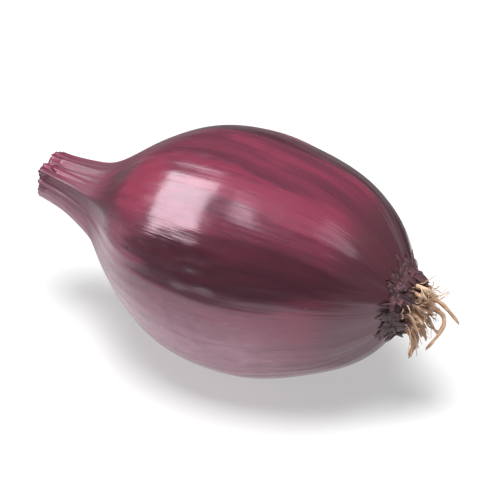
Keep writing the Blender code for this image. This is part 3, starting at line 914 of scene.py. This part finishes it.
# %% The routes of the roots
ROOT_RINGS = [(0.0, 1), (0.75 * MM, 6), (1.3 * MM, 9), (1.85 * MM, 13)]
ROOT_SHORTEST, ROOT_LONGEST = 0.7 * MM, 1.9 * MM
ROOT_RADIUS, ROOT_THINNEST, ROOT_THICKEST = 0.27 * MM, 0.75, 1.1
ROOT_TIP_SHARE = 0.5
LEAN_MIDDLE, LEAN_EDGE, LEAN_VARIES = 0.05, 0.25, 0.10
SWAY = 0.45
DROOP_LEAST, DROOP_MOST = 0.30, 0.95
FORWARD = 0.9
ANGLE_VARIES = 0.25
ROOT_SUNK = 0.4 * MM
ROOT_POINTS, ROOT_SIDES = 16, 9
# Each long root leaves the plate's edge at an angle in degrees: its middle and its tip, in mm from there.
LONG_ROOTS = [
    (-5, (2.0, 0.7, -0.85), (3.5, 0.85, -2.5)),
    (-35, (2.5, 0.3, -0.8), (2.2, -2.1, -2.5)),
    (-85, (0.9, -0.2, -1.4), (0.8, -1.3, -2.7)),
    (-140, (1.3, -0.4, -0.7), (1.5, -0.8, -2.2)),
    (95, (1.5, 0.1, 0.3), (2.5, 0.5, -0.5)),
]
SEED = 14


def root_start(angle, radius):
    """Where a root leaves the plate, sunk a little way into it."""
    return np.array([plate_height(radius) - ROOT_SUNK, radius * math.cos(angle), radius * math.sin(angle)])


def arc_through(start, middle, tip, count):
    """Points along the parabola (a quadratic Bezier curve) that passes its middle point halfway."""
    share = np.linspace(0.0, 1.0, count)[:, None]
    handle = 2.0 * middle - 0.5 * (start + tip)
    return (1 - share) ** 2 * start + 2 * share * (1 - share) * handle + share**2 * tip


def short_root(angle, radius, draw):
    """One root of the mat: it stands out from the plate, leans outward and sideways, and droops."""
    start = root_start(angle, radius)
    length = ROOT_SUNK + draw.uniform(ROOT_SHORTEST, ROOT_LONGEST)
    outward = np.array([0.0, math.cos(angle), math.sin(angle)])
    sideways = np.array([0.0, -math.sin(angle), math.cos(angle)])
    spread = LEAN_MIDDLE + LEAN_EDGE * radius / PLATE_RADIUS + draw.uniform(-LEAN_VARIES, LEAN_VARIES)
    lean = spread * outward + draw.uniform(-SWAY, SWAY) * sideways
    lean = lean - np.array([0.0, 0.0, draw.uniform(DROOP_LEAST, DROOP_MOST)])
    forward = np.array([FORWARD, 0.0, 0.0])
    middle = start + length * (forward / 2 + lean / 4)
    tip = start + length * (forward + lean)
    return arc_through(start, middle, tip, ROOT_POINTS)


def root_routes():
    """Every root's path and thickness, in the order in which the solid's were drawn."""
    draw = random.Random(SEED)
    routes = []
    for radius, how_many in ROOT_RINGS:
        for i in range(how_many):
            angle = 2 * math.pi * (i + draw.uniform(-ANGLE_VARIES, ANGLE_VARIES)) / how_many
            path = short_root(angle, radius, draw)
            routes.append((path, ROOT_RADIUS * draw.uniform(ROOT_THINNEST, ROOT_THICKEST)))
    for degrees, middle, tip in LONG_ROOTS:
        start = root_start(math.radians(degrees), ROOT_RINGS[-1][0])
        middle, tip = start + MM * np.array(middle), start + MM * np.array(tip)
        routes.append((arc_through(start, middle, tip, 2 * ROOT_POINTS), ROOT_RADIUS))
    return routes


print("roots:", len(root_routes()))

# %% [markdown]
# ## Tubes along the routes
# A root is a tube carried along its path: at each point a circle is laid square to the path, with a radius
# that swells at the knots and shrinks to a blunt tip. Many tubes go into one mesh, and each keeps its own
# tint and its share of the length for the finish to read.

# %% Strands and hairs
STRAND_SHARE, FIBRE_SHARE = 0.95, 0.50
STRAND_WANDER, FIBRE_WANDER, HAIR_WANDER = 0.09 * MM, 0.28 * MM, 0.14 * MM
KNOT_SIZE = 0.10
HAIR_COUNT, HAIR_POINTS, HAIR_SIDES = 100, 10, 5
HAIR_THINNEST, HAIR_THICKEST, HAIR_TIP = 0.045, 0.085, 0.45
HAIR_SHORTEST, HAIR_LONGEST = 0.8, 2.6


def tube(path, radii, sides):
    """Circles square to a path, one at each of its points; a plane's normal keeps them from twisting."""
    along = np.gradient(path, axis=0)
    along /= np.linalg.norm(along, axis=1)[:, None]
    chord = path[-1] - path[0]
    normal = np.cross(chord, path[len(path) // 2] - path[0]) + np.cross(chord, (0.0, 0.0, 1e-6))
    normal /= np.linalg.norm(normal)
    side = np.cross(along, normal)
    side /= np.linalg.norm(side, axis=1)[:, None]
    other = np.cross(along, side)
    turn = full_turn(sides)[..., None]
    ring = np.cos(turn) * side[:, None] + np.sin(turn) * other[:, None]
    return path[:, None] + np.asarray(radii)[:, None, None] * ring


def wandering(path, size, draw):
    """The path with a small sideways wave that is nought where the root leaves the plate."""
    share = np.linspace(0.0, 1.0, len(path))[:, None]
    first = np.array([draw.uniform(-1, 1) for _ in range(3)])
    second = np.array([draw.uniform(-1, 1) for _ in range(3)])
    wave = np.sin(draw.uniform(5, 9) * share + draw.uniform(0, 6)) * first + np.sin(12 * share) * second
    return path + size * share * wave


def joined_tubes(name, tubes, material):
    """Many tubes in one mesh, each closed at both ends, with each one's tint and share of the length."""
    points, faces, tints, shares = [], [], [], []
    count = 0
    for rings, tint in tubes:
        rows, sides = rings.shape[:2]
        tube_points, tube_faces = capped(rings)
        points.append(tube_points)
        faces += [face + count for face in tube_faces]
        shares.append(np.append(np.repeat(np.linspace(0.0, 1.0, rows), sides), [0.0, 1.0]))
        tints.append(np.full(len(tube_points), tint))
        count += len(tube_points)
    piece = new_piece(name, laid(np.concatenate(points)), faces, material)
    store(piece, "tint", np.concatenate(tints))
    store(piece, "along", np.concatenate(shares))
    return piece


def make_root_strands(material):
    """Along each route a knotted strand that thins to a blunt tip, and a thinner fibre beside it."""
    draw = random.Random(SEED + 1)
    tubes = []
    for path, radius in root_routes():
        path = wandering(path, STRAND_WANDER, draw)
        share = np.linspace(0.0, 1.0, len(path))
        knots = 1.0 + KNOT_SIZE * np.sin(draw.uniform(14, 22) * share + draw.uniform(0, 6))
        taper = 1.0 - (1.0 - ROOT_TIP_SHARE) * share
        blunt = np.sqrt(np.clip((1.02 - share) / 0.10, 0.05, 1.0))
        tubes.append((tube(path, STRAND_SHARE * radius * knots * taper * blunt, ROOT_SIDES), draw.random()))
        fibre = wandering(path, FIBRE_WANDER, draw)
        tubes.append((tube(fibre, FIBRE_SHARE * radius * taper * blunt, ROOT_SIDES - 3), draw.random()))
    return joined_tubes("root_strands", tubes, material)


def make_root_hairs(material):
    """Thin fibres among the roots: the same kind of path, finer and more bent."""
    draw = random.Random(SEED + 2)
    tubes = []
    for _ in range(HAIR_COUNT):
        angle, radius = draw.uniform(0, 2 * math.pi), PLATE_RADIUS * 0.9 * math.sqrt(draw.random())
        start = root_start(angle, radius)
        out = np.array([0.0, math.cos(angle), math.sin(angle)])
        length = draw.uniform(HAIR_SHORTEST, HAIR_LONGEST) * MM
        sway = np.array([draw.uniform(-0.1, 0.3), draw.uniform(-0.6, 0.6), draw.uniform(-0.7, 0.3)])
        middle = start + length * (np.array([0.55, 0.0, 0.0]) + 0.15 * out + 0.25 * sway)
        tip = start + length * (np.array([0.75, 0.0, 0.0]) + 0.35 * out + sway)
        path = wandering(arc_through(start, middle, tip, HAIR_POINTS), HAIR_WANDER, draw)
        radii = draw.uniform(HAIR_THINNEST, HAIR_THICKEST) * MM * np.linspace(1.0, HAIR_TIP, HAIR_POINTS)
        tubes.append((tube(path, radii, HAIR_SIDES), draw.random()))
    return joined_tubes("root_hairs", tubes, material)


# %% The finish of cork and roots
ROOT_TAN, ROOT_PALE, ROOT_BROWN = (0.570, 0.340, 0.205), (0.700, 0.510, 0.375), (0.210, 0.105, 0.070)
ROOT_FINE, ROOT_BLOTCHES = 3000.0, 900.0


def make_root_material(name, tan_share):
    """Each root's tint from tan to pale, brown in blotches and towards the plate, with a fine grain."""
    material, shader, add, join = new_material(name)
    place = add("ShaderNodeTexCoord").outputs["Object"]
    fine = noise(add, place, ROOT_FINE, 3.0, 0.6)
    blotches = noise(add, place, ROOT_BLOTCHES, 2.0)
    colour = blended(add, stored(add, "tint"), ROOT_TAN, ROOT_PALE)
    colour = washed(add, colour, blotches, (ROOT_BROWN, 1.0 - tan_share, 0.35, 0.65))
    colour = washed(add, colour, stored(add, "along"), (ROOT_BROWN, 0.7, 0.55, 0.0))
    join(shader.inputs["Base Color"], colour)
    fixed(shader, {"Roughness": 0.72})
    relieved(add, join, shader, fine, 0.7, 0.08 * MM, pressed_in=True)
    return material


root_material = make_root_material("dry_roots", 0.6)
root_plate = make_root_plate(make_root_material("dry_cork", 0.1))
root_strands = make_root_strands(root_material)
root_hairs = make_root_hairs(root_material)
for piece in (root_plate, root_strands, root_hairs):
    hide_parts("root_tuft")
    print(piece_report(piece), signed_volume(piece), "cubic mm")

# %% [markdown]
# ## The table
# The set lies on a plain white table. It glows a little from below, as a light table does, so that
# shadows stay pale. The studio past the table's middle is dark, and that dark rims a glossy thing. A dark
# ring just over the table stands for it. Only gloss sees the ring, so it shows in the skin alone.

# %% The table and the dark ring
TABLE_SIDE, TABLE_DROP = 1.2, 0.02 * MM
TABLE_WHITE = (0.415, 0.415, 0.418, 1.0)
TABLE_GLOW = 0.46
RING_MIDDLE, RING_INSIDE, RING_OUTSIDE = (6.0 * MM, -10.0 * MM), 42.0 * MM, 0.6
RING_HEIGHT, RING_COLUMNS = 0.1 * MM, 96
RING_GREY = (0.135, 0.135, 0.135, 1.0)


def make_table():
    """A square under the flat spot, a hair lower than it, so the two never share a plane."""
    material, shader, *_ = new_material("white_table")
    fixed(shader, {"Base Color": TABLE_WHITE, "Roughness": 0.75})
    fixed(shader, {"Emission Color": (1.0, 1.0, 1.0, 1.0), "Emission Strength": TABLE_GLOW})
    corners = np.array([[-1, -1], [1, -1], [1, 1], [-1, 1]]) * TABLE_SIDE / 2
    points = np.column_stack([corners, np.full(4, -TABLE_DROP)])
    table = new_surface("table", points, [np.array([[0, 1, 2, 3]])], material)


def make_dark_ring():
    """Two circles on the table, one inside the other, joined by a grid one square wide."""
    material, shader, *_ = new_material("dark_studio")
    fixed(shader, {"Base Color": RING_GREY, "Roughness": 0.9})
    turn = full_turn(RING_COLUMNS)
    radius = np.array([RING_INSIDE, RING_OUTSIDE])[:, None]
    x, y = RING_MIDDLE[0] + radius * np.cos(turn), RING_MIDDLE[1] + radius * np.sin(turn)
    points = np.stack([x, y, np.full_like(x, RING_HEIGHT)], -1).reshape(-1, 3)
    ring = new_surface("dark_ring", points, [grid_faces(2, RING_COLUMNS)[:, ::-1]], material)
    ring.visible_camera = ring.visible_diffuse = ring.visible_shadow = False


make_table()
make_dark_ring()
print("table, m:", TABLE_SIDE, "with a dark ring from", RING_INSIDE, "to", RING_OUTSIDE)

# %% [markdown]
# ## The camera
# The bulb is seen from a little over its front, turned so that its neck points left and away. The lens is
# long and the camera far off, because a small thing shot from a distance shows hardly any perspective.

# %% The camera, at the height and turn from which the bulb is seen
AZIMUTH, ELEVATION = math.radians(29.0), math.radians(35.0)
VIEW_WIDTH = 43.15 * MM
LENS, SENSOR = 500.0, 36.0
AIM_RIGHT, AIM_UP = -0.59 * MM, 0.14 * MM
right = Vector((math.cos(AZIMUTH), math.sin(AZIMUTH), 0.0))
back = Vector((
    math.sin(AZIMUTH) * math.cos(ELEVATION),
    -math.cos(AZIMUTH) * math.cos(ELEVATION),
    math.sin(ELEVATION),
))
up = back.cross(right)


def make_camera():
    """A camera on the line through the aim, as far off as its lens needs for the view's width."""
    data = bpy.data.cameras.new("camera")
    data.lens, data.sensor_width = LENS, SENSOR
    data.clip_start, data.clip_end = 0.01, 10.0
    camera = shown("camera", data)
    camera.location = Vector(LIE) + AIM_RIGHT * right + AIM_UP * up + back * (VIEW_WIDTH * LENS / SENSOR)
    camera.rotation_mode = "QUATERNION"
    camera.rotation_quaternion = (-back).to_track_quat("-Z", "Y")
    bpy.context.scene.camera = camera


make_camera()
print("camera's distance, m:", round(VIEW_WIDTH * LENS / SENSOR, 2))

# %% [markdown]
# ## The lights
# A wide scrim hangs overhead and lights the skin softly. As a real one behind cloth does, it hardly shows
# in the gloss, so it is hidden from it. Three windows are what the gloss shows: a tall one on the left
# makes the square highlight on the shoulder, a small one stands beside it, and a weak one on the right.
# They are hidden from diffuse light in their turn, so the light that the left window would throw beside its
# highlight is painted on the skin instead. Nothing stands on the camera's side, so a dark band runs along
# the bulb's middle, over the glow that the table throws back; painted shade on the skin darkens the band,
# and painted glow makes the side below it paler.

# %% The lights and the room
# Each window: its direction from the bulb, how far off it is, half its spread along the bulb and across
# it in degrees, and its radiance.
WINDOWS = {
    "key_window": ((-0.67, -0.26, 0.695), 0.40, 13.5, 26, 7.5),
    "small_window": ((-0.122, -0.271, 0.956), 0.40, 6, 10, 4.2),
    "far_window": ((0.60, 0.12, 0.79), 0.40, 17, 10, 1.5),
}
SCRIM_DIRECTION = (-0.03, -0.06, 1.0)
SCRIM_SIZE, SCRIM_DISTANCE, SCRIM_RADIANCE = 0.28, 0.45, 16.4
ROOM_GREY = 0.08


def new_light(name, direction, distance, width, height, radiance):
    """A rectangle of light facing the bulb, its width along the bulb; its power is radiance x pi x area."""
    data = bpy.data.lights.new(name, "AREA")
    data.shape = "RECTANGLE"
    data.size, data.size_y = width, height
    data.energy = radiance * math.pi * width * height
    heading = Vector(direction).normalized()
    along = (Vector((1.0, 0.0, 0.0)) - heading * heading.x).normalized()
    facing = Matrix((along, heading.cross(along), heading)).transposed().to_4x4()
    light = shown(name, data)
    light.matrix_world = Matrix.Translation(Vector(LIE) + heading * distance) @ facing
    light.visible_camera = False
    return light


for name, (direction, distance, along, across, radiance) in WINDOWS.items():
    width, height = (2 * distance * math.tan(math.radians(half)) for half in (along, across))
    window = new_light(name, direction, distance, width, height, radiance)
    window.visible_diffuse = False
    print(name, "size, m:", round(width, 2), "x", round(height, 2))
scrim = new_light("scrim", SCRIM_DIRECTION, SCRIM_DISTANCE, SCRIM_SIZE, SCRIM_SIZE, SCRIM_RADIANCE)
scrim.visible_glossy = False
world = bpy.data.worlds.new("room")
world.use_nodes = True
fixed(world.node_tree.nodes["Background"], {"Color": (ROOM_GREY, ROOM_GREY, ROOM_GREY, 1.0)})
bpy.context.scene.world = world
bpy.context.scene.view_settings.view_transform = "Standard"
